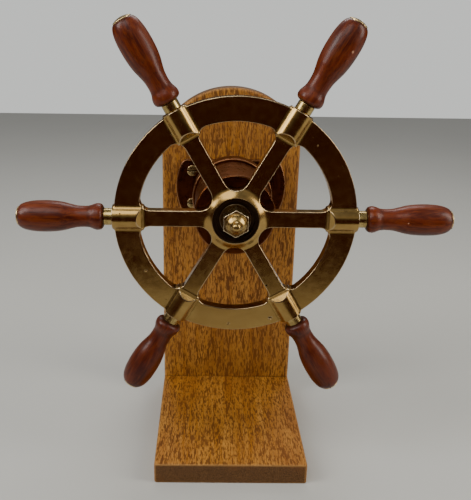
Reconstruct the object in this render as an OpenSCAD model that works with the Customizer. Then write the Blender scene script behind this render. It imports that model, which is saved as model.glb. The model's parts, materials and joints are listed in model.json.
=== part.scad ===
// Ship's steering wheel on a wooden display stand.
// Six-spoke brass wheel with turned hardwood grips, carried by a bronze
// bearing housing that is screwed to a round-topped upright board.
// Origin: centre of the base board's underside. +Z up, the wheel faces -Y.

/* [Stand] */
// Width of both boards
board_w = 150; // [120:1:200]
// Thickness of both boards
board_t = 21; // [18:0.5:28]
// Front-to-back depth of the base board
base_d = 187; // [175:1:240]
// Height of the stand, underside of the base to the crown of the arch
stand_h = 366; // [360:1:420]
// Radius of the arch at the top of the upright
arch_r = 82; // [78:1:110]
// Radius of the shoulders beside the arch
shoulder_r = 40; // [20:1:50]
// Radius of the base board's corners seen from above
corner_r = 2.5; // [1:0.5:8]

/* [Wheel] */
// Height of the wheel's axis above the table
axis_z = 259.5; // [250:0.5:280]
// Distance from the upright's face to the wheel's middle plane
wheel_w = 123.7; // [122:0.1:140]
// Outer radius of the rim
rim_r = 111; // [105:0.5:120]
// Radial width of the rim
rim_b = 22; // [16:0.5:26]
// Thickness of the rim and spokes
rim_t = 11; // [9:0.5:13]
// Width of a spoke
spoke_b = 15; // [12:0.5:17]
// Corner radius where a spoke meets the rim
rim_fillet = 11; // [6:0.5:12]
// Radius of the hollow arc that joins two spokes at the hub
hub_fillet = 12; // [11:0.5:12.5]
// Radius of the round boss that carries a handle
boss_r = 11.5; // [9:0.5:12]

/* [Hub] */
// Outer radius of the hub body
hub_r = 27.3; // [25:0.1:30]
// Distance from the upright's face to the front of the hub ring
hub_front_w = 134.5; // [133:0.1:140]
// Radius of the recess in the hub
recess_r = 21.2; // [19:0.1:22]
// Width of the dome nut across its flats
nut_af = 22.2; // [19:0.1:24]

/* [Handles] */
// Distance from the wheel's axis to the tip of a handle
tip_r = 201.1; // [190:0.1:215]
// Radius of a handle's exposed brass collar
collar_r = 7.8; // [6:0.1:8]
// Radius of the slotted cap at a handle's tip
cap_r = 8.75; // [7:0.05:9]

/* [Bearing] */
// Radius of the mounting flange
flange_r = 59.6; // [56:0.1:64]
// Half height of the flange between its two flats
flange_half_h = 30; // [26:0.5:34]
// Radius of the flange's four corners
flange_corner_r = 7; // [4:0.5:10]
// Thickness of the mounting flange
flange_t = 6; // [5:0.5:8]
// Radius of the housing's neck
neck_r = 33; // [31:0.5:35]
// Radius of the housing's collar
housing_collar_r = 41; // [40:0.5:42]
// Radius of the barrel
barrel_r = 38.2; // [37:0.1:39.5]
// Distance from the upright's face to the front of the barrel
barrel_front_w = 116.5; // [116:0.1:116.5]
// Radius of the shaft in its bushes
shaft_r = 9.525; // [8:0.005:10]
// Radial running clearance of the shaft
running = 0.05; // [0.02:0.01:0.08]

/* [Hidden] */
$fn = 96;
eps = 0.01;

// plan positions
face_y = base_d / 2 - board_t;          // front face of the upright
rim_back_w = wheel_w - rim_t / 2;
rim_front_w = wheel_w + rim_t / 2;
rim_in = rim_r - rim_b;
boss_out = rim_r + 1.5;                 // outer end of a handle boss
boss_in = rim_in - 4.7;                 // foot of a boss's sloping inner end
hub_back_w = 118;                       // rear face of the hub
floor_w = 127;                          // floor of the hub recess
seat_r = 7.9;                           // shaft seat in the hub
thread_r = 6.35;                        // half-inch threaded end
washer_t = 1.8;
nut_back_w = floor_w + washer_t;
nut_front_w = 144;                      // front of the hexagon
grip_in = boss_out + 8;                 // inner end of the wood
grip_out = tip_r - 3.1;                 // outer end of the wood
key_b = 4;
fit_c = 0.05;                           // clearance of threads and sleeves
bush_r = 13;
housing_screw_x = 42;
housing_screw_z = 18.2;
base_screw_x = [-52, 0, 52];

// grip radius along its length: [distance from inner end, radius]
grip_pts = [[0, 7.9], [0.5, 9.4], [1.7, 11.2], [3.5, 12.1], [5.6, 12.3], [7.7, 12.0], [9.6, 11.35],
            [11.4, 10.65], [13.4, 10.1], [16, 9.8], [19.4, 9.75], [25, 10.2], [31, 11.6],
            [37, 13.1], [44, 14.1], [51, 14.5], [58, 14.45], [64, 14.05], [69.2, 13.2],
            [73, 12.1], [75.8, 10.7], [77.1, 9.5], [77.5, 8.9]];
spline_steps = 3;

// Catmull-Rom interpolation through a list of points
function cr(a, b, c, d, t) =
    0.5 * (2 * b + (c - a) * t + (2 * a - 5 * b + 4 * c - d) * t * t
           + (3 * b - a - 3 * c + d) * t * t * t);
function smooth_pts(p, n) = concat(
    [for (i = [0 : len(p) - 2], k = [0 : n - 1])
        cr(p[max(i - 1, 0)], p[i], p[i + 1], p[min(i + 2, len(p) - 1)], k / n)],
    [p[len(p) - 1]]);

// children's +Z runs out along the wheel's axis from the upright's face
module on_axis() translate([0, face_y, axis_z]) rotate([90, 0, 0]) children();
// children's +Z runs out along the handle at angle a
module on_spoke(a) on_axis() rotate([0, 0, a]) translate([0, 0, wheel_w]) rotate([0, 90, 0]) children();
// a tube between two stations on the axis
module ring(w0, w1, ro, ri) translate([0, 0, w0]) difference() {
    cylinder(r = ro, h = w1 - w0);
    translate([0, 0, -1]) cylinder(r = ri, h = w1 - w0 + 2);
}
module rod(w0, w1, r) translate([0, 0, w0]) cylinder(r = r, h = w1 - w0);

// ---------- stand ----------

module base_outline() {
    x = board_w / 2 - corner_r;
    y = base_d / 2 - corner_r;
    square([board_w, 2 * y], center = true);
    square([2 * x, base_d], center = true);
    for (sx = [-1, 1], sy = [-1, 1]) translate([sx * x, sy * y]) circle(r = corner_r, $fn = 32);
}

// countersunk clearance hole from below
module countersink() {
    translate([0, 0, -1]) cylinder(r = 2.6, h = board_t + 2, $fn = 32);
    translate([0, 0, 0.5]) cylinder(r1 = 4.9, r2 = 2.6, h = 2.7, $fn = 32);
    translate([0, 0, -1]) cylinder(r = 4.9, h = 1.5 + eps, $fn = 32);
}

module base_board() color([0.65, 0.45, 0.24])
difference() {
    linear_extrude(board_t) base_outline();
    for (x = base_screw_x) translate([x, face_y + board_t / 2, 0]) countersink();
}

// outline of the upright, drawn in X and Z
module upright_outline() {
    cz = stand_h - arch_r;
    sx = board_w / 2 - shoulder_r;
    dz = sqrt(pow(arch_r - shoulder_r, 2) - sx * sx);
    tx = arch_r * sx / (arch_r - shoulder_r);
    translate([-board_w / 2, board_t]) square([board_w, cz + dz - board_t]);
    intersection() {
        translate([0, cz]) circle(r = arch_r, $fn = 180);
        translate([-tx, cz]) square([2 * tx, 2 * arch_r]);
    }
    for (s = [-1, 1]) translate([s * sx, cz + dz]) circle(r = shoulder_r);
}

module upright_board() color([0.6, 0.4, 0.2])
difference() {
    translate([0, face_y + board_t, 0]) rotate([90, 0, 0]) linear_extrude(board_t) upright_outline();
    for (x = base_screw_x) translate([x, face_y + board_t / 2, board_t - 1])
        cylinder(r = 2.5 + fit_c, h = 30, $fn = 32);
    for (sx = [-1, 1], sz = [-1, 1]) on_axis()
        translate([sx * housing_screw_x, sz * housing_screw_z, -17]) cylinder(r = 2.5 + fit_c, h = 18, $fn = 32);
}

// slotted countersunk wood screw, head down, standing at the origin
module csk_screw(len) difference() {
    union() {
        translate([0, 0, 0.5]) cylinder(r1 = 4.8, r2 = 2.5, h = 2.7, $fn = 32);
        translate([0, 0, 3]) cylinder(r = 2.5, h = len - 7, $fn = 32);
        translate([0, 0, len - 4]) cylinder(r1 = 2.5, r2 = 0.6, h = 4, $fn = 32);
    }
    translate([-6, -0.6, 0]) cube([12, 1.2, 1.7]);
}

module base_screws() color([0.72, 0.6, 0.33])
    for (x = base_screw_x) translate([x, face_y + board_t / 2, 0]) csk_screw(47);

// ---------- bearing housing ----------

// round flange with two flats, its four corners rounded
module flange_outline() {
    c = flange_corner_r;
    cy = flange_half_h - c;
    cx = sqrt(pow(flange_r - c, 2) - cy * cy);
    intersection() {
        circle(r = flange_r, $fn = 144);
        square([2 * cx, 2 * flange_half_h], center = true);
    }
    for (s = [-1, 1]) intersection() {
        circle(r = flange_r, $fn = 144);
        polygon([[0, 0], [s * 2 * cx, 2 * cy], [s * 2 * cx, -2 * cy]]);
    }
    for (sx = [-1, 1], sy = [-1, 1]) translate([sx * cx, sy * cy]) circle(r = c, $fn = 64);
}

// flange, neck and collar in one casting
module housing_base() color([0.3, 0.15, 0.09]) on_axis()
difference() {
    union() {
        linear_extrude(flange_t - 0.8) flange_outline();
        intersection() {
            linear_extrude(flange_t) flange_outline();
            translate([0, 0, flange_t - 0.8]) cylinder(r1 = flange_r, r2 = flange_r - 0.8, h = 0.8, $fn = 144);
        }
        rotate_extrude($fn = 120) difference() {
            union() {
                square([neck_r, 40]);
                translate([0, flange_t]) square([neck_r + 3, 3]);
                translate([0, 36]) square([housing_collar_r - 1.2, 17]);
                translate([0, 37.2]) square([housing_collar_r, 14.6]);
                translate([housing_collar_r - 1.2, 37.2]) circle(r = 1.2, $fn = 32);
                translate([housing_collar_r - 1.2, 51.8]) circle(r = 1.2, $fn = 32);
            }
            translate([neck_r + 3, flange_t + 3]) circle(r = 3, $fn = 32);
        }
    }
    rod(-1, 8, 24);                                   // rear recess round the circlip
    rod(7, 54, bush_r);                               // rear bush bore
    difference() { rod(14, 46, 27); rod(13, 28, 18); } // cored relief round the boss
    rod(45, 54, 34);                                  // register for the barrel
    for (sx = [-1, 1], sz = [-1, 1]) translate([sx * housing_screw_x, sz * housing_screw_z, -1])
        cylinder(r = 2.8, h = flange_t + 2, $fn = 32);
}

// barrel with its front wall, screwed into the housing base
module housing_barrel() color([0.33, 0.17, 0.09]) on_axis()
difference() {
    union() {
        rod(45, 53.2, 34 - fit_c);
        rod(53, barrel_front_w - 0.8, barrel_r);
        translate([0, 0, barrel_front_w - 0.8]) cylinder(r1 = barrel_r, r2 = barrel_r - 0.8, h = 0.8);
    }
    rod(44, 109, 30.5);
    rod(100, barrel_front_w + 1, bush_r);
}

module housing_screws() color([0.62, 0.52, 0.3]) on_axis()
    for (sx = [-1, 1], sz = [-1, 1]) translate([sx * housing_screw_x, sz * housing_screw_z, 0])
        difference() {
            union() {
                translate([0, 0, flange_t]) cylinder(r = 5.7, h = 1.4, $fn = 40);
                translate([0, 0, flange_t + 1.4]) cylinder(r1 = 5.7, r2 = 4.9, h = 0.8, $fn = 40);
                translate([0, 0, flange_t + 2.2]) cylinder(r1 = 4.9, r2 = 2.8, h = 0.6, $fn = 40);
                translate([0, 0, -12]) cylinder(r = 2.5, h = flange_t + 12.5, $fn = 32);
                translate([0, 0, -16]) cylinder(r1 = 0.6, r2 = 2.5, h = 4, $fn = 32);
            }
            translate([-7, -0.7, flange_t + 1.4]) cube([14, 1.4, 3]);
        }

module rear_bush() color([0.7, 0.52, 0.28]) on_axis() ring(8, 28, bush_r - 0.02, shaft_r + running);
module front_bush() color([0.7, 0.52, 0.28]) on_axis()
    union() {
        ring(109, barrel_front_w, bush_r - 0.02, shaft_r + running);
        ring(96, 109, bush_r + 4, shaft_r + running);
    }

// ---------- shaft ----------

module wheel_shaft() color([0.62, 0.62, 0.64]) on_axis()
difference() {
    union() {
        rod(3, hub_back_w, shaft_r);
        translate([0, 0, 2.2]) cylinder(r1 = shaft_r - 0.8, r2 = shaft_r, h = 0.8);
        rod(hub_back_w - 1, floor_w, seat_r);
        rod(floor_w - 1, 143, thread_r);
    }
    ring(5, 6.2, shaft_r + 1, 8.6);
    translate([-key_b / 2, seat_r - 2, hub_back_w]) cube([key_b, 4, floor_w - hub_back_w]);
}

// open spring ring in the shaft's rear groove
module shaft_circlip() color([0.3, 0.3, 0.32]) on_axis()
difference() {
    ring(5, 6.2, 12.4, 8.6);
    translate([-1.8, -20, 4]) cube([3.6, 20, 4]);
    for (s = [-1, 1]) translate([s * 3.6, -10.4, 4]) cylinder(r = 0.7, h = 4, $fn = 24);
}

module rear_washer() color([0.7, 0.58, 0.32]) on_axis() ring(6.2, 7.8, 16, shaft_r + 0.15);
module thrust_washer() color([0.7, 0.58, 0.32]) on_axis() ring(116.7, hub_back_w, 17, shaft_r + 0.1);

module shaft_key() color([0.55, 0.55, 0.57]) on_axis()
    translate([-key_b / 2, seat_r - 2, hub_back_w]) cube([key_b, 4, floor_w - hub_back_w]);

// ---------- wheel ----------

// corner web between a spoke's side and the rim, spoke along +X
module rim_corner() {
    cy = spoke_b / 2 + rim_fillet;
    cx = sqrt(pow(rim_in - rim_fillet, 2) - cy * cy);
    k = (rim_in + 4) / (rim_in - rim_fillet);
    difference() {
        polygon([[cx, cy], [cx, spoke_b / 2 - 0.5], [rim_in + 6, spoke_b / 2 - 0.5], [cx * k, cy * k]]);
        translate([cx, cy]) circle(r = rim_fillet, $fn = 64);
    }
}

// web between two spokes at the hub, ending in one hollow arc that touches both spokes
module hub_web() {
    d = 2 * (spoke_b / 2 + hub_fillet);
    x = d - hub_fillet / 2;
    y = hub_fillet * sqrt(3) / 2;
    rotate(30) difference() {
        polygon([[0, 0], [x, y], [x, -y]]);
        translate([d, 0]) circle(r = hub_fillet, $fn = 96);
    }
}

module wheel_outline() {
    difference() {
        circle(r = rim_r, $fn = 180);
        circle(r = rim_in, $fn = 180);
    }
    circle(r = hub_r - 0.4);
    for (a = [0 : 60 : 300]) rotate(a) {
        translate([10, -spoke_b / 2]) square([rim_in - 5, spoke_b]);
        rim_corner();
        mirror([0, 1]) rim_corner();
        hub_web();
    }
}

// round boss across the rim, its inner end sloping down to the spoke's faces
module boss() difference() {
    union() {
        translate([boss_in, 0, wheel_w]) rotate([0, 90, 0]) cylinder(r = boss_r, h = boss_out - 0.5 - boss_in, $fn = 72);
        translate([boss_out - 0.5, 0, wheel_w]) rotate([0, 90, 0]) cylinder(r1 = boss_r, r2 = boss_r - 0.5, h = 0.5, $fn = 72);
    }
    for (s = [-1, 1]) translate([boss_in, 0, wheel_w + s * rim_t / 2]) rotate([0, -45 * s, 0])
        translate([-40, -30, s > 0 ? 0 : -30]) cube([80, 60, 30]);
}

module wheel_casting() color([0.5, 0.36, 0.18]) on_axis()
difference() {
    union() {
        translate([0, 0, rim_back_w]) linear_extrude(rim_t) wheel_outline();
        rotate_extrude($fn = 120) {
            translate([0, hub_back_w]) square([hub_r - 0.3, rim_front_w - 0.7 - hub_back_w]);
            intersection() {
                translate([recess_r - 3.5, hub_front_w - 7.52]) circle(r = 8.3, $fn = 144);
                translate([recess_r - 3.5, hub_back_w + 1]) square([hub_r - 0.4 - recess_r + 3.5, 30]);
            }
            translate([0, hub_back_w + 1]) square([recess_r - 3.4, hub_front_w - hub_back_w - 1]);
        }
        for (a = [0 : 60 : 300]) rotate([0, 0, a]) boss();
    }
    rod(130.5, hub_front_w + 2, recess_r);
    rod(floor_w, 131, 18);
    rod(hub_back_w - 1, floor_w + 1, seat_r);
    translate([-key_b / 2, 0, hub_back_w - 1]) cube([key_b, seat_r + 2.2, floor_w - hub_back_w + 2]);
    for (a = [0 : 60 : 300]) rotate([0, 0, a]) translate([boss_out - 15, 0, wheel_w]) rotate([0, 90, 0])
        cylinder(r = 5 + fit_c, h = 16, $fn = 48);
}

module hub_washer() color([0.75, 0.62, 0.34]) on_axis() ring(floor_w, nut_back_w, 14.5, thread_r + 0.2);

module dome_nut() color([0.78, 0.65, 0.36]) on_axis()
difference() {
    union() {
        intersection() {
            translate([0, 0, nut_back_w]) rotate([0, 0, 30]) cylinder(r = nut_af / sqrt(3), h = nut_front_w - nut_back_w, $fn = 6);
            rotate_extrude() polygon([[0, nut_back_w], [nut_af / 2 + 0.2, nut_back_w], [nut_af / 2 + 2.2, nut_back_w + 1.2],
                [nut_af / 2 + 2.2, nut_front_w - 0.6], [nut_af / 2 + 1.1, nut_front_w], [0, nut_front_w]]);
        }
        rotate_extrude() polygon([[0, nut_front_w - 1], [9.8, nut_front_w - 1], [9.8, nut_front_w + 0.6], [9.35, nut_front_w + 2.2],
            [8.4, nut_front_w + 3.9], [7.1, nut_front_w + 5.3], [6, nut_front_w + 6.3], [5.25, nut_front_w + 7.3],
            [4.8, nut_front_w + 8.4], [4.4, nut_front_w + 9.6], [3.8, nut_front_w + 10.8], [2.9, nut_front_w + 11.9],
            [1.6, nut_front_w + 12.7], [0, nut_front_w + 13]]);
    }
    rod(nut_back_w - 1, 146, thread_r + fit_c);
}

// ---------- handles ----------

// brass spindle: threaded root, exposed collar, long shank tapped for the cap
module spindle(a) color([0.6, 0.5, 0.26]) on_spoke(a)
difference() {
    union() {
        rod(boss_out - 14, boss_out + 1, 5);
        rod(boss_out, grip_in, collar_r);
        rod(grip_in - 1, grip_out - 10, 4);
    }
    rod(grip_out - 24, grip_out - 9, 2.5 + fit_c);
}

// turned hardwood grip
module grip(a) color([0.38, 0.1, 0.05]) on_spoke(a)
translate([0, 0, grip_in]) scale([1, 1, (grip_out - grip_in) / 77.5]) grip_solid();

module grip_solid() difference() {
    rotate_extrude($fn = 64) polygon(concat([[0, 0]],
        [for (p = smooth_pts(grip_pts, spline_steps)) [p[1], p[0]]], [[0, 77.5]]));
    translate([0, 0, -1]) cylinder(r = 4 + fit_c, h = 80, $fn = 40);
}

// slotted brass cap screw that holds the grip on its spindle
module cap(a) color([0.6, 0.5, 0.26]) on_spoke(a)
difference() {
    union() {
        rotate_extrude($fn = 64) polygon([[0, grip_out], [cap_r, grip_out], [cap_r, grip_out + 0.9], [8.2, grip_out + 1.6],
            [6.8, grip_out + 2.3], [4.6, grip_out + 2.8], [2.2, grip_out + 3.05], [0, grip_out + 3.1]]);
        rod(grip_out - 20, grip_out + 1, 2.5);
    }
    translate([-0.8, -12, grip_out + 1.9]) cube([1.6, 24, 3]);
}

base_board();
upright_board();
base_screws();
housing_base();
housing_barrel();
housing_screws();
rear_bush();
front_bush();
wheel_shaft();
shaft_circlip();
rear_washer();
thrust_washer();
shaft_key();
wheel_casting();
hub_washer();
dome_nut();
spindle(0);  // spindle_right
spindle(60);  // spindle_upper_right
spindle(120);  // spindle_upper_left
spindle(180);  // spindle_left
spindle(240);  // spindle_lower_left
spindle(300);  // spindle_lower_right
grip(0);  // grip_right
grip(60);  // grip_upper_right
grip(120);  // grip_upper_left
grip(180);  // grip_left
grip(240);  // grip_lower_left
grip(300);  // grip_lower_right
cap(0);  // cap_right
cap(60);  // cap_upper_right
cap(120);  // cap_upper_left
cap(180);  // cap_left
cap(240);  // cap_lower_left
cap(300);  // cap_lower_right
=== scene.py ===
import json
import math
import bmesh
import bpy
import numpy as np
from mathutils import Matrix, Vector


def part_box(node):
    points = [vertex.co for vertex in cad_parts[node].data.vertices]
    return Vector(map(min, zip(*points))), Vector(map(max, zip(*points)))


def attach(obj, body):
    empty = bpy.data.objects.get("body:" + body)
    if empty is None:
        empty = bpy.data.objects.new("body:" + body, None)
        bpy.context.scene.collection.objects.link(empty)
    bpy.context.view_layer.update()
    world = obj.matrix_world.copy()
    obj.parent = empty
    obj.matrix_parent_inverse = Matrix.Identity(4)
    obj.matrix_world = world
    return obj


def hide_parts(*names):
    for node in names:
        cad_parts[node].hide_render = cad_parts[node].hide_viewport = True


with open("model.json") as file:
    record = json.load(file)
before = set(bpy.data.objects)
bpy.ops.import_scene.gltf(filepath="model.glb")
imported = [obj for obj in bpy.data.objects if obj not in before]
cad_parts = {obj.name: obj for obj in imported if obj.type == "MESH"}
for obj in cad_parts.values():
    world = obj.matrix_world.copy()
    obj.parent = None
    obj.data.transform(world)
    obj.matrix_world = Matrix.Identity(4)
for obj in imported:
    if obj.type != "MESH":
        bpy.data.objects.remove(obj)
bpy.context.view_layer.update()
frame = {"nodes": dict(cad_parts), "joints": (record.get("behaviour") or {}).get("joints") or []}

MM = 0.001
FACE_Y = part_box("upright_board")[0][1] / MM          # front face of the upright
AXIS_Z = frame["joints"][0]["pos_m"][2] / MM
WHEEL_W = FACE_Y - frame["joints"][0]["pos_m"][1] / MM
M_AXIS = Matrix(((1, 0, 0, 0), (0, 0, -1, FACE_Y * MM), (0, 1, 0, AXIS_Z * MM), (0, 0, 0, 1)))
HANDLES = [("right", 0), ("upper_right", 60), ("upper_left", 120), ("left", 180), ("lower_left", 240), ("lower_right", 300)]


def m_handle(a):
    return M_AXIS @ Matrix.Rotation(math.radians(a), 4, "Z") @ Matrix.Translation((0, 0, WHEEL_W * MM)) @ Matrix.Rotation(math.radians(90), 4, "Y")


# ------------------------------------------------------------------ meshing

def new_object(name, verts_mm, faces, matrix, normals=None, attrs=None):
    """A mesh object in the part's frame. Its own coordinates, in mm, stay in the attribute lc."""
    me = bpy.data.meshes.new(name)
    v = np.asarray(verts_mm, np.float64)
    A = np.array(matrix, float)
    me.from_pydata([], [], [])
    faces = [f for f in faces] if isinstance(faces, list) else np.asarray(faces, np.int32)
    w = (v * MM) @ A[:3, :3].T + A[:3, 3]
    if isinstance(faces, list):
        me.from_pydata(w.tolist(), [], faces)
    else:
        me.vertices.add(len(v)); me.vertices.foreach_set("co", w.astype(np.float32).ravel())
        n, k = faces.shape
        me.loops.add(n * k); me.loops.foreach_set("vertex_index", faces.ravel())
        me.polygons.add(n)
        me.polygons.foreach_set("loop_start", np.arange(0, n * k, k, dtype=np.int32))
    me.update(calc_edges=True)
    me.validate()
    me.shade_smooth()
    attrs = dict(attrs or {})
    for key, val in attrs.items():
        a = me.attributes.new(key, "FLOAT", "POINT")
        a.data.foreach_set("value", np.asarray(val, np.float32))
    a = me.attributes.new("lc", "FLOAT_VECTOR", "POINT")
    a.data.foreach_set("vector", v.astype(np.float32).ravel())
    if normals is not None:
        nn = np.asarray(normals, float) @ A[:3, :3].T
        me.normals_split_custom_set_from_vertices(nn.tolist())
    ob = bpy.data.objects.new(name, me)
    bpy.context.scene.collection.objects.link(ob)
    return ob


def r_union(a, b, r):
    u = np.maximum(r - a, 0); v = np.maximum(r - b, 0)
    return np.maximum(r, np.minimum(a, b)) - np.sqrt(u * u + v * v)


def r_inter(a, b, r):
    u = np.maximum(r + a, 0); v = np.maximum(r + b, 0)
    return np.minimum(-r, np.maximum(a, b)) + np.sqrt(u * u + v * v)


def r_diff(a, b, r):
    return r_inter(a, -b, r)


EDGES = [((0, 0, 0), (1, 0, 0)), ((0, 1, 0), (1, 1, 0)), ((0, 0, 1), (1, 0, 1)), ((0, 1, 1), (1, 1, 1)),
         ((0, 0, 0), (0, 1, 0)), ((1, 0, 0), (1, 1, 0)), ((0, 0, 1), (0, 1, 1)), ((1, 0, 1), (1, 1, 1)),
         ((0, 0, 0), (0, 0, 1)), ((1, 0, 0), (1, 0, 1)), ((0, 1, 0), (0, 1, 1)), ((1, 1, 0), (1, 1, 1))]


def nets(F, wrap=False):
    """Surface nets. F is sampled on grid points. With wrap, axis 1 is periodic and its last sample repeats its first.
    Returns vertices in index space and quads."""
    ins = F < 0
    s = np.zeros(tuple(n - 1 for n in F.shape), np.int8)
    for a in (0, 1):
        for b in (0, 1):
            for c in (0, 1):
                s += ins[a:ins.shape[0] - 1 + a, b:ins.shape[1] - 1 + b, c:ins.shape[2] - 1 + c]
    act = (s > 0) & (s < 8)
    idx = -np.ones(act.shape, np.int64)
    ci, cj, ck = np.nonzero(act)
    idx[act] = np.arange(len(ci))
    P = np.zeros((len(ci), 3)); cnt = np.zeros(len(ci))
    base = np.stack([ci, cj, ck], 1).astype(float)
    for a, b in EDGES:
        fa = F[ci + a[0], cj + a[1], ck + a[2]]
        fb = F[ci + b[0], cj + b[1], ck + b[2]]
        cr = (fa < 0) != (fb < 0)
        t = np.where(cr, fa / np.where(cr, fa - fb, 1), 0)
        q = np.array(a, float) + t[:, None] * (np.array(b, float) - np.array(a, float))
        P[cr] += q[cr]; cnt[cr] += 1
    P = base + P / cnt[:, None]
    quads = []
    n0, n1, n2 = F.shape
    m1 = n1 - 1

    def cell(i, j, k):
        return idx[i, j % m1 if wrap else j, k]
    # edges along axis 0
    d = ins[:-1] != ins[1:]
    i, j, k = np.nonzero(d)
    ok = (k > 0) & (k < n2 - 1)
    ok &= (j < n1 - 1) if wrap else ((j > 0) & (j < n1 - 1))
    i, j, k = i[ok], j[ok], k[ok]
    q = np.stack([cell(i, j - 1, k - 1), cell(i, j, k - 1), cell(i, j, k), cell(i, j - 1, k)], 1)
    flip = ~ins[i, j, k]
    q[flip] = q[flip][:, ::-1]
    quads.append(q)
    d = ins[:, :-1] != ins[:, 1:]
    i, j, k = np.nonzero(d)
    ok = (k > 0) & (k < n2 - 1) & (i > 0) & (i < n0 - 1)
    i, j, k = i[ok], j[ok], k[ok]
    q = np.stack([cell(i - 1, j, k - 1), cell(i - 1, j, k), cell(i, j, k), cell(i, j, k - 1)], 1)
    flip = ~ins[i, j, k]
    q[flip] = q[flip][:, ::-1]
    quads.append(q)
    d = ins[:, :, :-1] != ins[:, :, 1:]
    i, j, k = np.nonzero(d)
    ok = (i > 0) & (i < n0 - 1)
    ok &= (j < n1 - 1) if wrap else ((j > 0) & (j < n1 - 1))
    i, j, k = i[ok], j[ok], k[ok]
    q = np.stack([cell(i - 1, j - 1, k), cell(i, j - 1, k), cell(i, j, k), cell(i - 1, j, k)], 1)
    flip = ~ins[i, j, k]
    q[flip] = q[flip][:, ::-1]
    quads.append(q)
    return P, np.concatenate(quads)


def settle(f, V, steps=4, h=0.05, cap=0.6):
    """Moves points onto f = 0 and returns them with unit normals and the surface's convexity."""
    E = np.eye(3) * h
    start = V.copy()
    for _ in range(steps):
        val = f(V)
        g = np.stack([(f(V + e) - f(V - e)) / (2 * h) for e in E], 1)
        g2 = np.maximum((g * g).sum(1), 1e-4)
        V = V - 0.9 * g * (val / g2)[:, None]
        mv = V - start
        l = np.linalg.norm(mv, axis=1)
        V = np.where((l > cap)[:, None], start + mv * (cap / np.maximum(l, 1e-9))[:, None], V)
    g = np.stack([(f(V + e) - f(V - e)) / (2 * h) for e in E], 1)
    N = g / np.maximum(np.linalg.norm(g, axis=1), 1e-9)[:, None]
    H = 0.5
    c = f(V)
    lap = sum(f(V + e) + f(V - e) for e in np.eye(3) * H) - 6 * c
    return V, N, np.clip(lap / (H * H), -3, 3)


def implicit(name, f, lo, hi, cell, matrix, cap=None):
    """A mesh of f = 0 inside a box, in millimetres."""
    lo = np.array(lo, float); hi = np.array(hi, float)
    n = np.ceil((hi - lo) / cell).astype(int) + 1
    ax = [lo[i] + cell * np.arange(n[i]) for i in range(3)]
    G = np.stack(np.meshgrid(*ax, indexing="ij"), -1).reshape(-1, 3)
    F = f(G).reshape(n)
    F = np.where(np.abs(F) < 1e-7, 1e-7, F)
    P, Q = nets(F)
    V = lo + P * cell
    V, N, K = settle(f, V, cap=cap or cell)
    return new_object(name, V, Q, matrix, N, {"edge": K})


def arc_profile(pts, seg=5):
    """pts is [(r, z, fillet)]. Returns the polyline with each corner rounded by its fillet radius."""
    out = []
    n = len(pts)
    for i, (x, z, f) in enumerate(pts):
        if i in (0, n - 1) or f <= 0:
            out.append((x, z)); continue
        p = np.array([x, z]); a = np.array(pts[i - 1][:2]) - p; b = np.array(pts[i + 1][:2]) - p
        la, lb = np.linalg.norm(a), np.linalg.norm(b)
        a /= la; b /= lb
        cosang = np.clip(a @ b, -0.9999, 0.9999)
        half = math.acos(cosang) / 2
        t = f / math.tan(half)
        t = min(t, la * 0.49, lb * 0.49)
        r = t * math.tan(half)
        c = p + (a + b) / np.linalg.norm(a + b) * (r / math.sin(half))
        s, e = p + a * t, p + b * t
        a0 = math.atan2(*(s - c)[::-1]); a1 = math.atan2(*(e - c)[::-1])
        d = (a1 - a0 + math.pi) % (2 * math.pi) - math.pi
        for k in range(seg + 1):
            th = a0 + d * k / seg
            out.append(tuple(c + r * np.array([math.cos(th), math.sin(th)])))
    return out


def densify(prof, step):
    out = [prof[0]]
    for a, b in zip(prof[:-1], prof[1:]):
        L = math.hypot(b[0] - a[0], b[1] - a[1])
        n = max(1, int(math.ceil(L / step)))
        for k in range(1, n + 1):
            out.append((a[0] + (b[0] - a[0]) * k / n, a[1] + (b[1] - a[1]) * k / n))
    return out


def lathe(name, prof, seg, matrix, wobble=None, step=2.0):
    """Revolves a profile of (r, z) about z. The profile runs with the solid on its left, and closes on itself or on the axis."""
    prof = densify(prof, step)
    P = np.array(prof, float)
    closed = np.allclose(P[0], P[-1])
    if closed:
        P = P[:-1]
    m = len(P)
    prv = np.roll(P, 1, 0); nxt = np.roll(P, -1, 0)
    if not closed:
        prv[0] = P[0]; nxt[-1] = P[-1]
    d = nxt - prv
    ln = np.maximum(np.linalg.norm(d, axis=1), 1e-9)
    nr, nz = d[:, 1] / ln, -d[:, 0] / ln
    s0, s1 = P - prv, nxt - P
    turn = (np.arctan2(s1[:, 1], s1[:, 0]) - np.arctan2(s0[:, 1], s0[:, 0]) + math.pi) % (2 * math.pi) - math.pi
    K = turn / np.maximum((np.linalg.norm(s0, axis=1) + np.linalg.norm(s1, axis=1)) / 2, 0.05)
    if not closed:
        K[0] = K[-1] = 0
    th = np.linspace(0, 2 * math.pi, seg, endpoint=False)
    V, N, E, ring = [], [], [], []
    for i, (r, z) in enumerate(P):
        if r < 1e-6:
            ring.append([len(V)] * seg)
            V.append((0, 0, z)); N.append((0, 0, 1 if nz[i] >= 0 else -1)); E.append(0); continue
        ring.append(list(range(len(V), len(V) + seg)))
        rr = np.full(seg, r) + (wobble(th, z) if wobble is not None else 0)
        V += np.stack([rr * np.cos(th), rr * np.sin(th), np.full(seg, z)], 1).tolist()
        N += np.stack([nr[i] * np.cos(th), nr[i] * np.sin(th), np.full(seg, nz[i])], 1).tolist()
        E += [K[i]] * seg
    faces = []
    for i in range(m if closed else m - 1):
        A, B = ring[i], ring[(i + 1) % m]
        for k in range(seg):
            q = [A[k], A[(k + 1) % seg], B[(k + 1) % seg], B[k]]
            f = [q[0]]
            for t in q[1:]:
                if t != f[-1] and t != f[0]:
                    f.append(t)
            if len(f) > 2:
                faces.append(f)
    return new_object(name, V, faces, matrix, N, {"edge": E})


# ------------------------------------------------------------------ shapes

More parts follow.
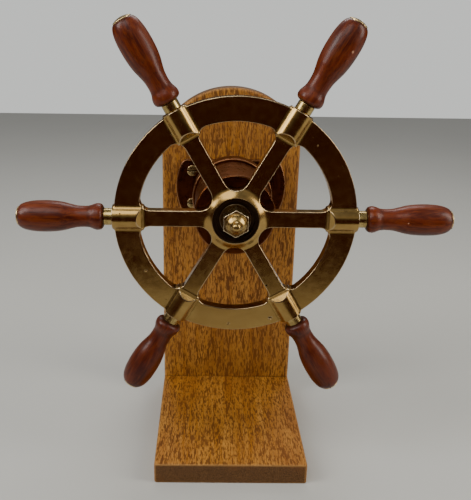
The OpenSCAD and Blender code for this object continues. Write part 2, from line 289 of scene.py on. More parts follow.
def fold(x, y):
    r = np.hypot(x, y)
    t = np.mod(np.arctan2(y, x) + math.pi / 6, math.pi / 3) - math.pi / 6
    return r, r * np.cos(t), np.abs(r * np.sin(t))


PITS = [(-83.4, -51.1, 1.0), (-82.3, -50.9, 0.8), (35.2, -98.2, 1.25), (36.6, -98.0, 1.05), (-4.1, -104.5, 0.95), (71.0, 69.0, 0.7), (-58.0, 77.0, 0.6)]
HUB_ARC = 12.0
HUB_D = 2 * (7.5 + HUB_ARC)


def casting(P):
    x, y, w = P.T
    r, u, v = fold(x, y)
    # hand-finished edges: their rounding varies a little from place to place
    e = 0.72 + 0.14 * np.sin(x * 0.11 + 1.3) * np.cos(y * 0.13 - 0.4) + 0.08 * np.sin(x * 0.31 - y * 0.27)
    rim = np.abs(r - 100) - 11
    # spokes, joined at the hub by hollow arcs
    t = np.arctan2(v, u)
    q1, q2 = r * np.cos(math.pi / 6 - t) - HUB_D, r * np.sin(math.pi / 6 - t)
    web = q1 * 0.8660254 + q2 * 0.5 < 0
    spoke = np.where(web, HUB_ARC - np.hypot(q1, q2), v - 7.5)
    spoke = np.maximum(spoke, u - 100)
    flat = r_union(rim, spoke, 11.0)
    h = np.abs(w - WHEEL_W)
    ring = np.hypot(r - 17.7, w - 126.98) - 8.3
    front = r_union(w - 129.2, ring, 5.2)
    plate = r_inter(flat, np.maximum(front, 118.2 - w), e)
    tube = r_inter(np.hypot(v, h) - 11.5, u - 112.5, 0.6)
    tube = np.maximum(tube, 84.3 - u)
    boss = r_inter(tube, (h - 5.5 - (u - 84.3)) * 0.7071, 0.55)
    f = r_union(plate, boss, 2.0)
    f = np.minimum(f, r_inter(r - 27.0, np.maximum(118 - w, w - 126), 0.6))
    f = r_diff(f, np.maximum(r - 21.2, 130.5 - w), 0.45)
    f = r_diff(f, np.maximum(r - 18.0, 127 - w), 0.4)
    f = np.maximum(f, -(r - 7.95))
    f = np.maximum(f, -np.maximum(np.abs(x) - 2.02, np.maximum(-y, y - 10.1)))
    f = np.maximum(f, -np.maximum(np.hypot(v, h) - 5.05, 97.6 - u))
    for px, py, pr in PITS:
        near = (np.abs(x - px) < 4) & (np.abs(y - py) < 4)
        if near.any():
            ball = np.hypot(np.hypot(x[near] - px, y[near] - py), w[near] - 129.2) - pr
            f[near] = r_diff(f[near], ball, 0.2)
    return f


def hexnut(P):
    x, y, w = P.T
    r = np.hypot(x, y)
    flats = np.maximum(np.maximum(np.abs(x), np.abs(0.5 * x + 0.8660254 * y)), np.abs(0.5 * x - 0.8660254 * y)) - 11.1
    body = r_inter(flats, np.maximum(128.8 - w, w - 144.0), 0.42)
    ch = np.maximum((w - 144.0) * 0.878 + (r - 12.15) * 0.479, (128.8 - w) * 0.8829 + (r - 11.3) * 0.4695)
    body = r_inter(body, ch, 0.22)
    d = dome_sdf(np.stack([r, w], 1))
    f = r_union(body, d, 0.5)
    return np.maximum(f, -np.maximum(r - 6.4, w - 146.0))


def poly_sdf(poly):
    def f(q):
        d = np.full(len(q), 1e9); inside = np.zeros(len(q), bool)
        n = len(poly)
        for i in range(n):
            a = poly[i]; b = poly[(i + 1) % n]; e = b - a
            t = np.clip(((q - a) @ e) / (e @ e), 0, 1)
            c = q - a - t[:, None] * e
            d = np.minimum(d, (c * c).sum(1))
            cond = (a[1] > q[:, 1]) != (b[1] > q[:, 1])
            if a[1] != b[1]:
                inside ^= cond & (q[:, 0] < (b[0] - a[0]) * (q[:, 1] - a[1]) / (b[1] - a[1]) + a[0])
        return np.where(inside, -1, 1) * np.sqrt(d)
    return f




def smooth_pts(p, n):
    out = []
    for i in range(len(p) - 1):
        a, b, c, d = (np.array(p[k]) for k in (max(i - 1, 0), i, i + 1, min(i + 2, len(p) - 1)))
        for k in range(n):
            t = k / n
            out.append(0.5 * (2 * b + (c - a) * t + (2 * a - 5 * b + 4 * c - d) * t * t + (3 * b - a - 3 * c + d) * t ** 3))
    return out + [np.array(p[-1])]


DOME = [[9.8, 142.0]] + [[a, b] for a, b in smooth_pts([[9.8, 144.4], [9.4, 146.1], [8.45, 147.9], [7.15, 149.3], [6.05, 150.3], [5.3, 151.3], [4.8, 152.4],
        [4.4, 153.6], [3.8, 154.8], [2.9, 155.9], [1.6, 156.7], [0.0, 157.0]], 4)] + [[-8, 157.0], [-8, 142.0]]
dome_sdf = poly_sdf(np.array(DOME, float))


def flange_casting(P):
    x, y, w = P.T
    r = np.hypot(x, y)
    ax, ay = np.abs(x), np.abs(y)
    plan = np.where(ay * 47.295 < ax * 23, r - 59.6, np.where(ax < 47.295, ay - 30, np.hypot(ax - 47.295, ay - 23) - 7))
    fl = r_inter(plan, np.abs(w - 3) - 3, 0.85)
    neck = np.maximum(r - 33, np.maximum(-w, w - 45))
    col = r_inter(r - 41, np.abs(w - 44.5) - 8.5, 1.3)
    f = r_union(r_union(fl, neck, 3.0), col, 0.8)
    f = np.maximum(f, -np.maximum(r - 24, w - 8))
    f = np.maximum(f, -np.maximum(r - 13, w - 54))
    return np.maximum(f, -np.maximum(r - 34, 45 - w))


def slot_screw(r_head, h_edge, h_crown, slot_w, slot_d, shank_r, shank_l):
    """A screw standing on z = 0, head up."""
    R = (r_head ** 2 + h_crown ** 2) / (2 * h_crown)

    def f(P):
        x, y, z = P.T
        r = np.hypot(x, y)
        ball = np.sqrt(r * r + (z - (h_edge + h_crown - R)) ** 2) - R
        head = r_inter(np.maximum(r - r_head, -z), ball, 0.25)
        head = np.minimum(head, np.maximum(r - shank_r, np.maximum(z - 0.5, -shank_l - z)))
        return r_diff(head, np.maximum(np.abs(y) - slot_w / 2, (h_edge + h_crown - slot_d) - z), 0.12)
    return f


def base_shape(P):
    x, y, z = P.T
    q = r_inter(np.abs(x) - 75, np.abs(y) - 93.5, 2.6)
    e = 1.5 + 0.25 * np.sin(x * 0.09) * np.sin(y * 0.07 + 1)
    f = r_inter(q, z - 21, e)
    f = r_inter(f, -z, 0.9)
    for sx in (-52, 0, 52):
        r = np.hypot(x - sx, y - 83)
        f = np.maximum(f, -np.maximum(r - np.clip(4.9 - (z - 0.5) * 0.852, 2.6, 4.9), z - 20))
    return f


def arch(x, z):
    x = np.abs(x)
    side = np.where(z < 307.18, x - 75, np.hypot(x - 35, z - 307.18) - 40)
    top = np.hypot(x, z - 284) - 82
    return np.where((z > 284) & (x * 23.18 < (z - 284) * 35), top, side)


def upright_shape(P):
    x, y, z = P.T
    o = arch(x, z)
    e = 3.3 + 0.5 * np.sin(z * 0.05 + x * 0.03)
    f = r_inter(o, 72.5 - y, e)
    f = r_inter(f, y - 93.5, 2.0)
    return np.maximum(f, 21.0 - z)


GRIP = [[0, 7.9], [0.5, 9.4], [1.7, 11.2], [3.5, 12.1], [5.6, 12.3], [7.7, 12.0], [9.6, 11.35], [11.4, 10.65], [13.4, 10.1],
        [16, 9.8], [19.4, 9.75], [25, 10.2], [31, 11.6], [37, 13.1], [44, 14.1], [51, 14.5], [58, 14.45], [64, 14.05],
        [69.2, 13.2], [73, 12.1], [75.8, 10.7], [77.1, 9.5], [77.5, 8.9]]
GRIP_IN, GRIP_OUT = 120.5, 198.0

visual = {}


def put(ob, body, nodes):
    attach(ob, body)
    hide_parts(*nodes)
    for n in nodes:
        visual[n] = ob
    return ob


wheel = put(implicit("wheel_cast", casting, (-113.6, -113.6, 111.2), (113.6, 113.6, 136.0), 0.62, M_AXIS), "wheel", ["wheel_casting"])
nut = put(implicit("nut_domed", hexnut, (-13.4, -13.4, 128.1), (13.4, 13.4, 157.6), 0.30, M_AXIS), "wheel", ["dome_nut"])
flange = put(implicit("housing_flange_cast", flange_casting, (-60.9, -42.9, -0.9), (60.9, 42.9, 54.1), 0.72, M_AXIS), "stand", ["housing_base"])

barrel_prof = [(30.5, 45, 0), (33.95, 45, 0.3), (33.95, 53, 0), (38.2, 53, 0.35), (38.2, 115.7, 0.3), (37.4, 116.5, 0.3), (13, 116.5, 0.3), (13, 109, 0), (30.5, 109, 0), (30.5, 45, 0)]
barrel = put(lathe("housing_barrel_turned", arc_profile(barrel_prof), 192, M_AXIS, step=2.0), "stand", ["housing_barrel"])
washer = put(lathe("hub_washer_turned", arc_profile([(6.55, 127, 0), (14.5, 127, 0.3), (14.5, 128.8, 0.45), (6.55, 128.8, 0.2), (6.55, 127, 0)]), 128, M_AXIS), "wheel", ["hub_washer"])

# flange screws, one object of four
scr = slot_screw(5.7, 1.75, 0.95, 1.4, 1.25, 2.5, 18)
meshes = []
for sx in (-42, 42):
    for sz in (-18.2, 18.2):
        m = M_AXIS @ Matrix.Translation((sx * MM, sz * MM, 6 * MM)) @ Matrix.Rotation(math.radians((7 if sx > 0 else -4) + (3 if sz > 0 else 0)), 4, "Z")
        meshes.append((m, implicit("scr", scr, (-6.3, -6.3, -18.6), (6.3, 6.3, 3.3), 0.24, Matrix.Identity(4))))


def join(name, items):
    """One mesh from several; each item is (matrix, object), and the object's mesh sits in its own frame."""
    vs, fs, ns, es, ls = [], [], [], [], []
    off = 0
    for m, ob in items:
        me = ob.data
        n = len(me.vertices)
        a = np.empty(n * 3, np.float32); me.attributes["lc"].data.foreach_get("vector", a)
        nv = np.empty(len(me.loops) * 3, np.float32); me.corner_normals.foreach_get("vector", nv)
        li = np.empty(len(me.loops), np.int32); me.loops.foreach_get("vertex_index", li)
        nn = np.zeros((n, 3)); nn[li] = nv.reshape(-1, 3)
        f = li.reshape(-1, 4)
        A = np.array(m)
        e = np.empty(n, np.float32); me.attributes["edge"].data.foreach_get("value", e)
        vs.append((a.reshape(-1, 3) * MM) @ A[:3, :3].T + A[:3, 3]); ns.append(nn @ A[:3, :3].T); fs.append(f + off)
        es.append(e); ls.append(a.reshape(-1, 3))
        off += n
        bpy.data.objects.remove(ob)
    out = new_object(name, np.concatenate(vs) / MM, np.concatenate(fs), Matrix.Identity(4), np.concatenate(ns), {"edge": np.concatenate(es)})
    out.data.attributes["lc"].data.foreach_set("vector", np.concatenate(ls).ravel())
    return out


put(join("flange_screws", meshes), "stand", ["housing_screws"])

base = put(implicit("base_wood", base_shape, (-76.1, -94.7, -1.3), (76.1, 94.7, 22.3), 1.15, Matrix.Identity(4)), "stand", ["base_board"])
upright = put(implicit("upright_wood", upright_shape, (-76.3, 71.1, 19.9), (76.3, 94.9, 367.3), 1.25, Matrix.Identity(4)), "stand", ["upright_board"])

cap_f = slot_screw(8.75, 0.95, 2.15, 1.6, 1.25, 2.5, 19.5)
for name, ang in HANDLES:
    m = m_handle(ang)
    crack = name == "lower_left"
    prof = [(4.05, 0.0), (7.6, 0.0)] + [(p[1], p[0]) for p in smooth_pts(GRIP, 7)] + [(4.05, 77.5), (4.05, 0.0)]
    wob = None
    if crack:
        def wob(th, z, c=77.5 * 0.70):
            off = 0.35 * np.sin(3 * th + 1) + 0.25 * np.sin(7 * th)
            return -0.5 * np.exp(-((z - c - off) / 0.28) ** 2) * (0.35 + 0.65 * (np.cos(th - 2.6) > -0.4)) * (1 if 45 < z < 65 else 0)
    g = lathe("grip_wood_" + name, prof, 112, m @ Matrix.Translation((0, 0, GRIP_IN * MM)), wob, step=0.45 if crack else 0.9)
    put(g, "wheel", ["grip_" + name])
    sp = [(0, 98.5), (5, 98.5), (5, 112.5), (7.2, 112.5), (7.8, 113.1), (7.8, 119.9), (7.2, 120.5), (4, 120.5), (4, 188), (0, 188)]
    s = lathe("spindle_turned_" + name, [(a, b) for a, b in arc_profile([(a, b, 0 if a in (0, 4, 5) else 0.25) for a, b in sp], 3)], 96, m, step=3.0)
    put(s, "wheel", ["spindle_" + name])
    c = implicit("cap_slotted_" + name, cap_f, (-9.3, -9.3, -20), (9.3, 9.3, 3.6), 0.4,
                 m @ Matrix.Translation((0, 0, GRIP_OUT * MM)) @ Matrix.Rotation(math.radians({"upper_left": 75, "upper_right": 20, "right": 40, "left": 110, "lower_left": 60, "lower_right": 5}[name]), 4, "Z"))
    put(c, "wheel", ["cap_" + name])


# ------------------------------------------------------------------ materials

class Nodes:
    """A short way to write shader trees."""

    def __init__(self, name):
        self.mat = bpy.data.materials.new(name)
        self.mat.use_nodes = True
        self.t = self.mat.node_tree
        self.bsdf = self.t.nodes["Principled BSDF"]

    def node(self, kind, **props):
        n = self.t.nodes.new("ShaderNode" + kind)
        for k, v in props.items():
            setattr(n, k, v)
        return n

    def put(self, sock, val):
        if hasattr(val, "links"):
            self.t.links.new(val, sock)
        else:
            sock.default_value = val

    def attr(self, name):
        n = self.node("Attribute"); n.attribute_name = name
        return n.outputs["Fac"] if name == "edge" else n.outputs["Vector"]

    def math(self, op, a, b=0.0, clamp=False):
        n = self.node("Math", operation=op, use_clamp=clamp)
        self.put(n.inputs[0], a); self.put(n.inputs[1], b)
        return n.outputs[0]

    def ramp(self, x, lo, hi, a=0.0, b=1.0, smooth=True):
        n = self.node("MapRange")
        n.interpolation_type = "SMOOTHSTEP" if smooth else "LINEAR"
        n.clamp = True
        for i, v in enumerate((x, lo, hi, a, b)):
            self.put(n.inputs[i], v)
        return n.outputs[0]

    def scale(self, vec, s, off=(0, 0, 0)):
        n = self.node("Mapping")
        self.put(n.inputs["Vector"], vec)
        n.inputs["Scale"].default_value = s; n.inputs["Location"].default_value = off
        return n.outputs[0]

    def noise(self, vec, scale=1.0, detail=3.0, rough=0.5, dist=0.0):
        n = self.node("TexNoise")
        self.put(n.inputs["Vector"], vec)
        n.inputs["Scale"].default_value = scale; n.inputs["Detail"].default_value = detail
        n.inputs["Roughness"].default_value = rough; n.inputs["Distortion"].default_value = dist
        return n.outputs["Fac"]

    def mix(self, f, a, b, mode="MIX"):
        n = self.node("Mix", data_type="RGBA", blend_type=mode)
        self.put(n.inputs[0], f)
        for s, v in ((n.inputs[6], a), (n.inputs[7], b)):
            self.put(s, v if hasattr(v, "links") else (*v, 1))
        return n.outputs[2]

    def bump(self, h, strength, dist, base=None):
        n = self.node("Bump")
        self.put(n.inputs["Height"], h)
        n.inputs["Strength"].default_value = strength; n.inputs["Distance"].default_value = dist
        if base is not None:
            self.put(n.inputs["Normal"], base)
        return n.outputs[0]

    def turned(self, vec, s):
        """Coordinates that repeat round the z axis: radius and height only."""
        sp = self.node("SeparateXYZ"); self.put(sp.inputs[0], vec)
        r = self.math("SQRT", self.math("ADD", self.math("MULTIPLY", sp.outputs[0], sp.outputs[0]), self.math("MULTIPLY", sp.outputs[1], sp.outputs[1])))
        c = self.node("CombineXYZ")
        self.put(c.inputs[0], self.math("MULTIPLY", r, s)); self.put(c.inputs[2], self.math("MULTIPLY", sp.outputs[2], s))
        return c.outputs[0]


def metal(name, mid, dark, edge_col, rough, seed=0.0, turned=0.0, cast=0.0, edge_lo=0.3, edge_hi=0.8, blotch=0.018, streak=0.0, cad=False, metallic=1.0, bump=0.4, recess=False, slot=0.0):
    k = Nodes(name)
    if cad:
        tc = k.node("TexCoord"); lc = k.scale(tc.outputs["Object"], (1000, 1000, 1000)); edge = None
    else:
        lc = k.attr("lc"); edge = k.attr("edge")
    v = k.scale(lc, (1, 1, 1), (seed * 37.1, seed * 11.7, seed * 5.3))
    big = k.noise(v, blotch, 4, 0.6, 0.6)
    midn = k.noise(v, blotch * 9, 4, 0.6)
    fine = k.noise(v, 2.2, 3, 0.6)
    tone = k.ramp(k.math("ADD", k.math("MULTIPLY", big, 0.7), k.math("MULTIPLY", midn, 0.3)), 0.36, 0.62)
    col = k.mix(tone, dark, mid)
    speck = k.ramp(k.noise(v, 0.55, 5, 0.7), 0.56, 0.72)
    col = k.mix(k.math("MULTIPLY", speck, 0.25), col, dark)
    r = k.ramp(k.math("ADD", k.math("MULTIPLY", midn, 0.6), k.math("MULTIPLY", fine, 0.4)), 0.3, 0.7, rough * 0.75, rough * 1.35)
    if edge is not None:
        wear = k.math("MULTIPLY", k.ramp(edge, edge_lo, edge_hi), k.ramp(midn, 0.25, 0.5, 0.55, 1.0))
        col = k.mix(wear, col, edge_col)
        dirt = k.ramp(edge, -0.08, -0.45)
        col = k.mix(k.math("MULTIPLY", dirt, 0.55), col, (dark[0] * 0.35, dark[1] * 0.35, dark[2] * 0.35))
        r = k.math("ADD", r, k.math("MULTIPLY", dirt, 0.15))
    h = k.math("MULTIPLY", fine, 0.12)
    if streak:
        lines = k.noise(k.turned(lc, 1.0), 1.9, 4, 0.75)
        h = k.math("ADD", h, k.math("MULTIPLY", lines, streak))
        col = k.mix(k.ramp(lines, 0.42, 0.6, 0.0, 0.45), col, (mid[0] * 1.25, mid[1] * 1.2, mid[2] * 1.1))
        r = k.math("ADD", r, k.math("MULTIPLY", k.math("SUBTRACT", lines, 0.5), 0.2))
    if cast:
        pits = k.ramp(k.noise(v, 0.2, 2, 0.4), 0.765, 0.79)
        soft = k.noise(v, 0.13, 3, 0.5)
        h = k.math("ADD", h, k.math("MULTIPLY", soft, cast))
        h = k.math("SUBTRACT", h, k.math("MULTIPLY", pits, 2.0))
        col = k.mix(pits, col, (0.012, 0.007, 0.004))
        r = k.math("ADD", r, k.math("MULTIPLY", pits, 0.4))
        # fine scratches left by the file and the cloth
        sc = k.noise(k.scale(lc, (0.12, 2.6, 0.4)), 1.0, 2, 0.5)
        sc2 = k.noise(k.scale(lc, (2.2, 0.1, 0.4)), 1.0, 2, 0.5)
        h = k.math("ADD", h, k.math("MULTIPLY", k.math("ADD", sc, sc2), 0.05))
    if recess:
        # painted shade: the hollow round the nut is coloured dark; it is also left rougher, unpolished
        sp = k.node("SeparateXYZ"); k.put(sp.inputs[0], lc)
        rad = k.math("SQRT", k.math("ADD", k.math("MULTIPLY", sp.outputs[0], sp.outputs[0]), k.math("MULTIPLY", sp.outputs[1], sp.outputs[1])))
        recess_shade = k.math("MULTIPLY", k.ramp(rad, 21.45, 21.1), k.ramp(sp.outputs[2], 134.3, 133.7))
        col = k.mix(recess_shade, col, k.mix(midn, (0.035, 0.020, 0.012), (0.085, 0.052, 0.028)))
        r = k.math("ADD", r, k.math("MULTIPLY", recess_shade, 0.22))
    if slot:
        # the driver slot is coloured dark
        sp = k.node("SeparateXYZ"); k.put(sp.inputs[0], lc)
        col = k.mix(k.ramp(k.math("ABSOLUTE", sp.outputs[1]), slot + 0.02, slot - 0.10), col, (0.030, 0.018, 0.008))
    k.put(k.bsdf.inputs["Base Color"], col)
    k.put(k.bsdf.inputs["Roughness"], r)
    k.bsdf.inputs["Metallic"].default_value = metallic
    k.put(k.bsdf.inputs["Normal"], k.bump(h, bump, 0.00025))
    return k.mat


def oak(name, grain, seed):
    """Open-pored hardwood. grain is the axis that the fibres follow."""
    k = Nodes(name)
    lc = k.attr("lc")
    along = {"y": 1, "z": 2}[grain]

    def sc(a, b, off=0.0):
        s = [b, b, b]; s[along] = a
        return k.scale(lc, tuple(s), (seed + off, seed * 2 + off, seed * 3))
    # fibres wander slightly
    figure = k.noise(sc(0.006, 0.055), 1.0, 4, 0.55, 0.8)
    band = k.noise(sc(0.012, 0.32, 3.0), 1.0, 3, 0.6, 0.4)
    fibre = k.noise(sc(0.05, 1.6, 7.0), 1.0, 3, 0.6)
    pore_a = k.noise(sc(0.10, 0.60, 1.0), 1.0, 2, 0.5, 0.2)
    pore_b = k.noise(sc(0.17, 1.05, 9.0), 1.0, 2, 0.5, 0.15)
    col = k.mix(k.ramp(figure, 0.34, 0.64), (0.330, 0.118, 0.013), (0.480, 0.205, 0.030))
    col = k.mix(k.ramp(band, 0.35, 0.65, 0.0, 0.55), col, (0.530, 0.255, 0.050))
    col = k.mix(k.ramp(fibre, 0.4, 0.65, 0.0, 0.4), col, (0.235, 0.080, 0.012))
    pores = k.math("MAXIMUM", k.ramp(pore_a, 0.525, 0.58), k.math("MULTIPLY", k.ramp(pore_b, 0.53, 0.585), 0.9))
    col = k.mix(k.math("MULTIPLY", pores, 0.84), col, (0.090, 0.024, 0.002))
    # end grain drinks the finish and goes darker
    geo = k.node("Attribute"); geo.attribute_name = "endg"
    end = k.math("ADD", geo.outputs["Fac"], 0.0)
    fleck = k.noise(k.scale(lc, (1, 1, 1)), 1.25, 3, 0.7)
    dark_end = k.mix(k.ramp(fleck, 0.42, 0.62), (0.058, 0.022, 0.006), (0.155, 0.072, 0.022))
    col = k.mix(k.math("MULTIPLY", end, 0.92), col, dark_end)
    # handling marks and a darker patch of old oil
    patch = k.ramp(k.noise(lc, 0.017, 3, 0.5, 0.5), 0.44, 0.62)
    col = k.mix(k.math("MULTIPLY", patch, 0.30), col, (0.215, 0.072, 0.010))
    edge = k.ramp(k.attr("edge"), 0.15, 0.5)
    col = k.mix(k.math("MULTIPLY", edge, 0.30), col, (0.46, 0.24, 0.07))
    k.put(k.bsdf.inputs["Base Color"], col)
    rough = k.ramp(k.math("ADD", k.math("MULTIPLY", fibre, 0.5), k.math("MULTIPLY", figure, 0.5)), 0.35, 0.65, 0.36, 0.52)
    rough = k.math("ADD", rough, k.math("MULTIPLY", pores, 0.2))
    k.put(k.bsdf.inputs["Roughness"], rough)
    k.bsdf.inputs["Specular IOR Level"].default_value = 0.26
    h = k.math("SUBTRACT", k.math("MULTIPLY", fibre, 0.35), k.math("MULTIPLY", pores, 1.0))
    k.put(k.bsdf.inputs["Normal"], k.bump(h, 0.45, 0.0003))
    return k.mat


def mahogany(name, seed, tone=1.0, chip=None):
    """Varnished turned grip; the fibres run along its own z."""
    k = Nodes(name)
    lc = k.attr("lc")
    o = (seed * 13.7, seed * 7.9, seed * 31.0)
    figure = k.noise(k.scale(lc, (0.075, 0.075, 0.016), o), 1.0, 4, 0.6, 1.1)
    stripe = k.noise(k.scale(lc, (0.42, 0.42, 0.03), o), 1.0, 4, 0.65, 0.5)
    pore = k.noise(k.scale(lc, (1.5, 1.5, 0.16), o), 1.0, 2, 0.5)
    col = k.mix(k.ramp(figure, 0.33, 0.66), (0.050, 0.0042, 0.0008), (0.140, 0.019, 0.0022))
    col = k.mix(k.ramp(stripe, 0.4, 0.66, 0.0, 0.5), col, (0.215, 0.044, 0.0050))
    col = k.mix(k.ramp(pore, 0.58, 0.68, 0.0, 0.65), col, (0.03, 0.006, 0.003))
    # tone below 1 darkens the whole grip; the lower grips' 0.62 is painted shade
    col = k.mix(1.0 - tone, col, (0.030, 0.003, 0.001))
    sp = k.node("SeparateXYZ"); k.put(sp.inputs[0], lc)
    # painted shade: darker where the bead meets the brass and in the hollow behind it
    neck = k.math("MAXIMUM", k.ramp(sp.outputs[2], 2.5, 0.0), k.ramp(k.math("ABSOLUTE", k.math("SUBTRACT", sp.outputs[2], 13.2)), 2.6, 0.0, 0.0, 0.42))
    col = k.mix(k.math("MULTIPLY", neck, 0.75), col, (0.022, 0.005, 0.003))
    # painted shade where the grip rounds in to the cap
    col = k.mix(k.math("MULTIPLY", k.ramp(sp.outputs[2], 74.0, 77.4), 0.55), col, (0.035, 0.008, 0.004))
    dirt = k.ramp(k.attr("edge"), -0.35, -1.6)
    col = k.mix(dirt, col, (0.012, 0.004, 0.003))
    if chip:
        # a small knock that shows the bare wood
        n = k.node("VectorMath", operation="SUBTRACT")
        k.put(n.inputs[0], lc); n.inputs[1].default_value = chip[0]
        q = k.node("VectorMath", operation="LENGTH"); k.put(q.inputs[0], n.outputs[0])
        d = k.math("ADD", q.outputs["Value"], k.math("MULTIPLY", k.math("SUBTRACT", pore, 0.5), 0.8))
        col = k.mix(k.ramp(d, chip[1], chip[1] * 0.7), col, (0.42, 0.21, 0.12))
    k.put(k.bsdf.inputs["Base Color"], col)
    wear = k.noise(k.scale(lc, (1, 1, 1), o), 0.09, 4, 0.6)
    k.put(k.bsdf.inputs["Roughness"], k.ramp(wear, 0.35, 0.68, 0.30, 0.42))
    k.bsdf.inputs["Specular IOR Level"].default_value = 0.25
    k.bsdf.inputs["Coat Weight"].default_value = 0.08
    k.bsdf.inputs["Coat Roughness"].default_value = 0.16
    dent = k.noise(k.scale(lc, (1, 1, 1), o), 0.16, 2, 0.5)
    h = k.math("ADD", k.math("MULTIPLY", dent, 0.9), k.math("MULTIPLY", pore, -0.12))
    k.put(k.bsdf.inputs["Normal"], k.bump(h, 0.4, 0.0005))
    return k.mat


GOLD = (0.80, 0.60, 0.30)
m_wheel = metal("brass_toned_wheel", (0.42, 0.275, 0.092), (0.32, 0.195, 0.062), (0.52, 0.39, 0.23), 0.20, 1.0, cast=0.35, edge_lo=0.45, edge_hi=1.2, bump=0.3, recess=True)
m_nut = metal("brass_polished_nut", (0.46, 0.315, 0.11), (0.30, 0.19, 0.065), (0.92, 0.78, 0.52), 0.26, 2.0, blotch=0.05, edge_lo=0.5, edge_hi=1.4)
m_spin = metal("brass_olive_spindle", (0.50, 0.38, 0.15), (0.28, 0.19, 0.07), GOLD, 0.24, 3.0, blotch=0.05, streak=0.25, edge_lo=0.6, edge_hi=1.8)
m_cap = metal("brass_cap", (0.46, 0.33, 0.14), (0.24, 0.15, 0.06), GOLD, 0.28, 4.0, blotch=0.06, edge_lo=0.5, edge_hi=1.6, slot=0.8)
m_screw = metal("brass_worn_screw", (0.48, 0.37, 0.17), (0.22, 0.15, 0.06), GOLD, 0.27, 5.0, blotch=0.09, edge_lo=0.6, edge_hi=1.6, slot=0.7)
m_house = metal("bronze_turned_housing", (0.175, 0.050, 0.010), (0.09, 0.022, 0.005), (0.36, 0.18, 0.085), 0.30, 6.0, streak=0.9, edge_lo=0.3, edge_hi=0.85)
# painted shade: the washer in the hollow round the nut gets a much darker brass than the other brass parts
m_wash = metal("brass_washer_painted_shade", (0.17, 0.115, 0.052), (0.10, 0.062, 0.03), (0.85, 0.68, 0.42), 0.30, 7.0, blotch=0.06, streak=0.5, edge_lo=0.4, edge_hi=1.2)
m_cscrew = metal("brass_wood_screw", (0.50, 0.38, 0.17), (0.25, 0.17, 0.07), GOLD, 0.3, 8.0, blotch=0.1, cad=True)
m_bush = metal("bronze_machined_bush", (0.55, 0.34, 0.15), (0.34, 0.19, 0.08), GOLD, 0.27, 9.0, blotch=0.05, cad=True)
m_cwash = metal("brass_machined_plate", (0.52, 0.38, 0.17), (0.3, 0.2, 0.08), GOLD, 0.27, 10.0, blotch=0.05, cad=True)
m_steel = metal("steel_ground_shaft", (0.52, 0.52, 0.53), (0.36, 0.35, 0.35), GOLD, 0.25, 11.0, blotch=0.05, cad=True)
m_spring = metal("steel_blackened_spring", (0.10, 0.10, 0.11), (0.05, 0.05, 0.055), GOLD, 0.4, 12.0, blotch=0.08, cad=True)


def wear_it(ob, mat):
    ob.data.materials.clear()
    ob.data.materials.append(mat)


def end_grain(ob, axis, lo, hi, depth):
    """Marks the faces that cut across the fibres."""
    me = ob.data
    n = len(me.vertices)
    a = np.empty(n * 3, np.float32); me.attributes["lc"].data.foreach_get("vector", a); a = a.reshape(-1, 3)[:, axis]
    nv = np.empty(len(me.loops) * 3, np.float32); me.corner_normals.foreach_get("vector", nv)
    li = np.empty(len(me.loops), np.int32); me.loops.foreach_get("vertex_index", li)
    nn = np.zeros((n, 3)); nn[li] = nv.reshape(-1, 3)
    e = np.clip((np.abs(nn[:, axis]) - 0.62) / 0.25, 0, 1)
    at = me.attributes.new("endg", "FLOAT", "POINT"); at.data.foreach_set("value", e.astype(np.float32))


end_grain(base, 1, -93.5, 93.5, 1)
end_grain(upright, 2, 21, 366, 1)
wear_it(base, oak("hardwood_base", "y", 4.0))
wear_it(upright, oak("hardwood_upright", "z", 11.0))
wear_it(wheel, m_wheel); wear_it(nut, m_nut); wear_it(flange, m_house); wear_it(barrel, m_house); wear_it(washer, m_wash)
wear_it(visual["housing_screws"], m_screw)
for i, (name, ang) in enumerate(HANDLES):
    # painted shade: the lower grips get tone 0.62, darker than the others
    wear_it(visual["grip_" + name], mahogany("mahogany_" + name, 1.0 + i, 0.62 if name.startswith("lower") else (1.0 if name == "right" else 0.86),
                                               {"upper_right": ((-12.8, -6.75, 55.2), 1.35), "right": ((-12.8, 0.4, 35.8), 0.75)}.get(name)))
    wear_it(visual["spindle_" + name], m_spin)
    wear_it(visual["cap_" + name], m_cap)
for n, mat in (("base_screws", m_cscrew), ("rear_bush", m_bush), ("front_bush", m_bush), ("rear_washer", m_cwash), ("thrust_washer", m_cwash),
               ("wheel_shaft", m_steel), ("shaft_key", m_steel), ("shaft_circlip", m_spring)):
    wear_it(frame["nodes"][n], mat)


# ------------------------------------------------------------------ stage

fl = bpy.data.meshes.new("floor")
fl.from_pydata([(-2.2, -0.50, -0.0002), (2.2, -0.50, -0.0002), (2.2, 2.6, -0.0002), (-2.2, 2.6, -0.0002)], [], [(0, 1, 2, 3)])
floor = bpy.data.objects.new("floor", fl)
bpy.context.scene.collection.objects.link(floor)
k = Nodes("floor_pale")
tc = k.node("TexCoord")
k.put(k.bsdf.inputs["Base Color"], k.mix(k.noise(tc.outputs["Object"], 2.0, 3, 0.5), (0.455, 0.45, 0.415), (0.50, 0.495, 0.46)))
k.bsdf.inputs["Roughness"].default_value = 0.7
wear_it(floor, k.mat)

cam_d = bpy.data.cameras.new("cam")
cam = bpy.data.objects.new("cam", cam_d)
bpy.context.scene.collection.objects.link(cam)
R = ((0.9998956, -0.00583265, 0.01321958), (0.01075105, -0.31093451, -0.95037053), (0.0096536, 0.95041344, -0.31083934))
C = (-0.027827, -0.617858, 0.428357)
cam.matrix_world = Matrix([[R[0][i], -R[1][i], -R[2][i], C[i]] for i in range(3)] + [[0, 0, 0, 1]])
cam_d.sensor_width = 36
cam_d.lens = 642.16641 / 500 * 36
cam_d.shift_x = (235.5 - 210.99) / 500
cam_d.shift_y = (234.706 - 250) / 500
cam_d.clip_start = 0.01
bpy.context.scene.camera = cam


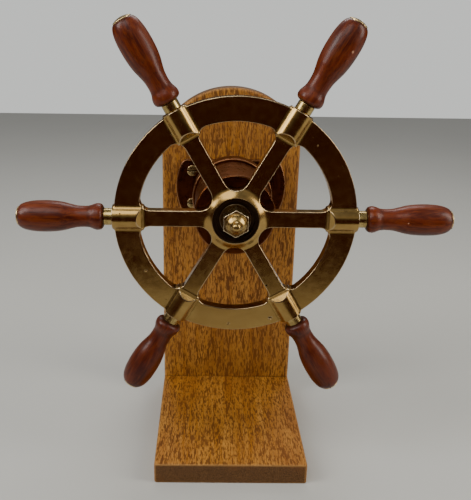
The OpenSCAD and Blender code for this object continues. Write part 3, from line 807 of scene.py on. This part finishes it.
def area(name, loc, to, size, power, color=(1, 1, 1)):
    d = bpy.data.lights.new(name, "AREA")
    d.shape = "RECTANGLE"; d.size, d.size_y = size
    d.energy = power; d.color = color
    o = bpy.data.objects.new(name, d)
    bpy.context.scene.collection.objects.link(o)
    o.location = loc
    o.rotation_euler = (Vector(to) - Vector(loc)).to_track_quat("-Z", "Y").to_euler()
    return o


area("front_key", (-0.45, -0.9, 1.6), (0, 0, 0.15), (0.9, 0.9), 8, (1, 0.98, 0.95))
area("left_window", (-1.2, -0.42, 1.1), (0, 0, 0.25), (0.6, 0.9), 13, (1, 0.99, 0.97))
area("right_window", (1.2, -0.35, 0.80), (0, 0, 0.25), (0.5, 1.1), 11, (1, 0.96, 0.88))
area("back_top", (0.1, 0.9, 1.4), (0, 0, 0.3), (1.0, 0.4), 7, (1, 1, 1))

# soft surroundings: bright overhead, dim and warm at the horizon for the metal, pale behind the object
w = bpy.data.worlds.new("studio"); bpy.context.scene.world = w
w.use_nodes = True
nt = w.node_tree
tc = nt.nodes.new("ShaderNodeTexCoord")
sp = nt.nodes.new("ShaderNodeSeparateXYZ"); nt.links.new(tc.outputs["Generated"], sp.inputs[0])
rp = nt.nodes.new("ShaderNodeValToRGB"); nt.links.new(sp.outputs[2], rp.inputs[0])
el = rp.color_ramp.elements
el[0].position = 0.0; el[0].color = (0.055, 0.013, 0.005, 1)
el[1].position = 0.85; el[1].color = (0.25, 0.25, 0.25, 1)
e = el.new(0.12); e.color = (0.055, 0.025, 0.014, 1)
e = el.new(0.28); e.color = (0.085, 0.070, 0.055, 1)
e = el.new(0.46); e.color = (0.43, 0.405, 0.36, 1)
e = el.new(0.62); e.color = (0.34, 0.325, 0.30, 1)
bg = nt.nodes["Background"]; nt.links.new(rp.outputs[0], bg.inputs[0]); bg.inputs[1].default_value = 1.0
soft = nt.nodes.new("ShaderNodeBackground"); soft.inputs[0].default_value = (0.38, 0.385, 0.39, 1); soft.inputs[1].default_value = 1.0
lp = nt.nodes.new("ShaderNodeLightPath")
mx = nt.nodes.new("ShaderNodeMixShader")
nt.links.new(lp.outputs["Is Glossy Ray"], mx.inputs[0])
nt.links.new(soft.outputs[0], mx.inputs[1]); nt.links.new(bg.outputs[0], mx.inputs[2])
pale = nt.nodes.new("ShaderNodeBackground"); pale.inputs[0].default_value = (0.72, 0.73, 0.71, 1); pale.inputs[1].default_value = 1.0
mc = nt.nodes.new("ShaderNodeMixShader")
nt.links.new(lp.outputs["Is Camera Ray"], mc.inputs[0])
nt.links.new(mx.outputs[0], mc.inputs[1]); nt.links.new(pale.outputs[0], mc.inputs[2])
nt.links.new(mc.outputs[0], nt.nodes["World Output"].inputs["Surface"])

bpy.context.view_layer.update()
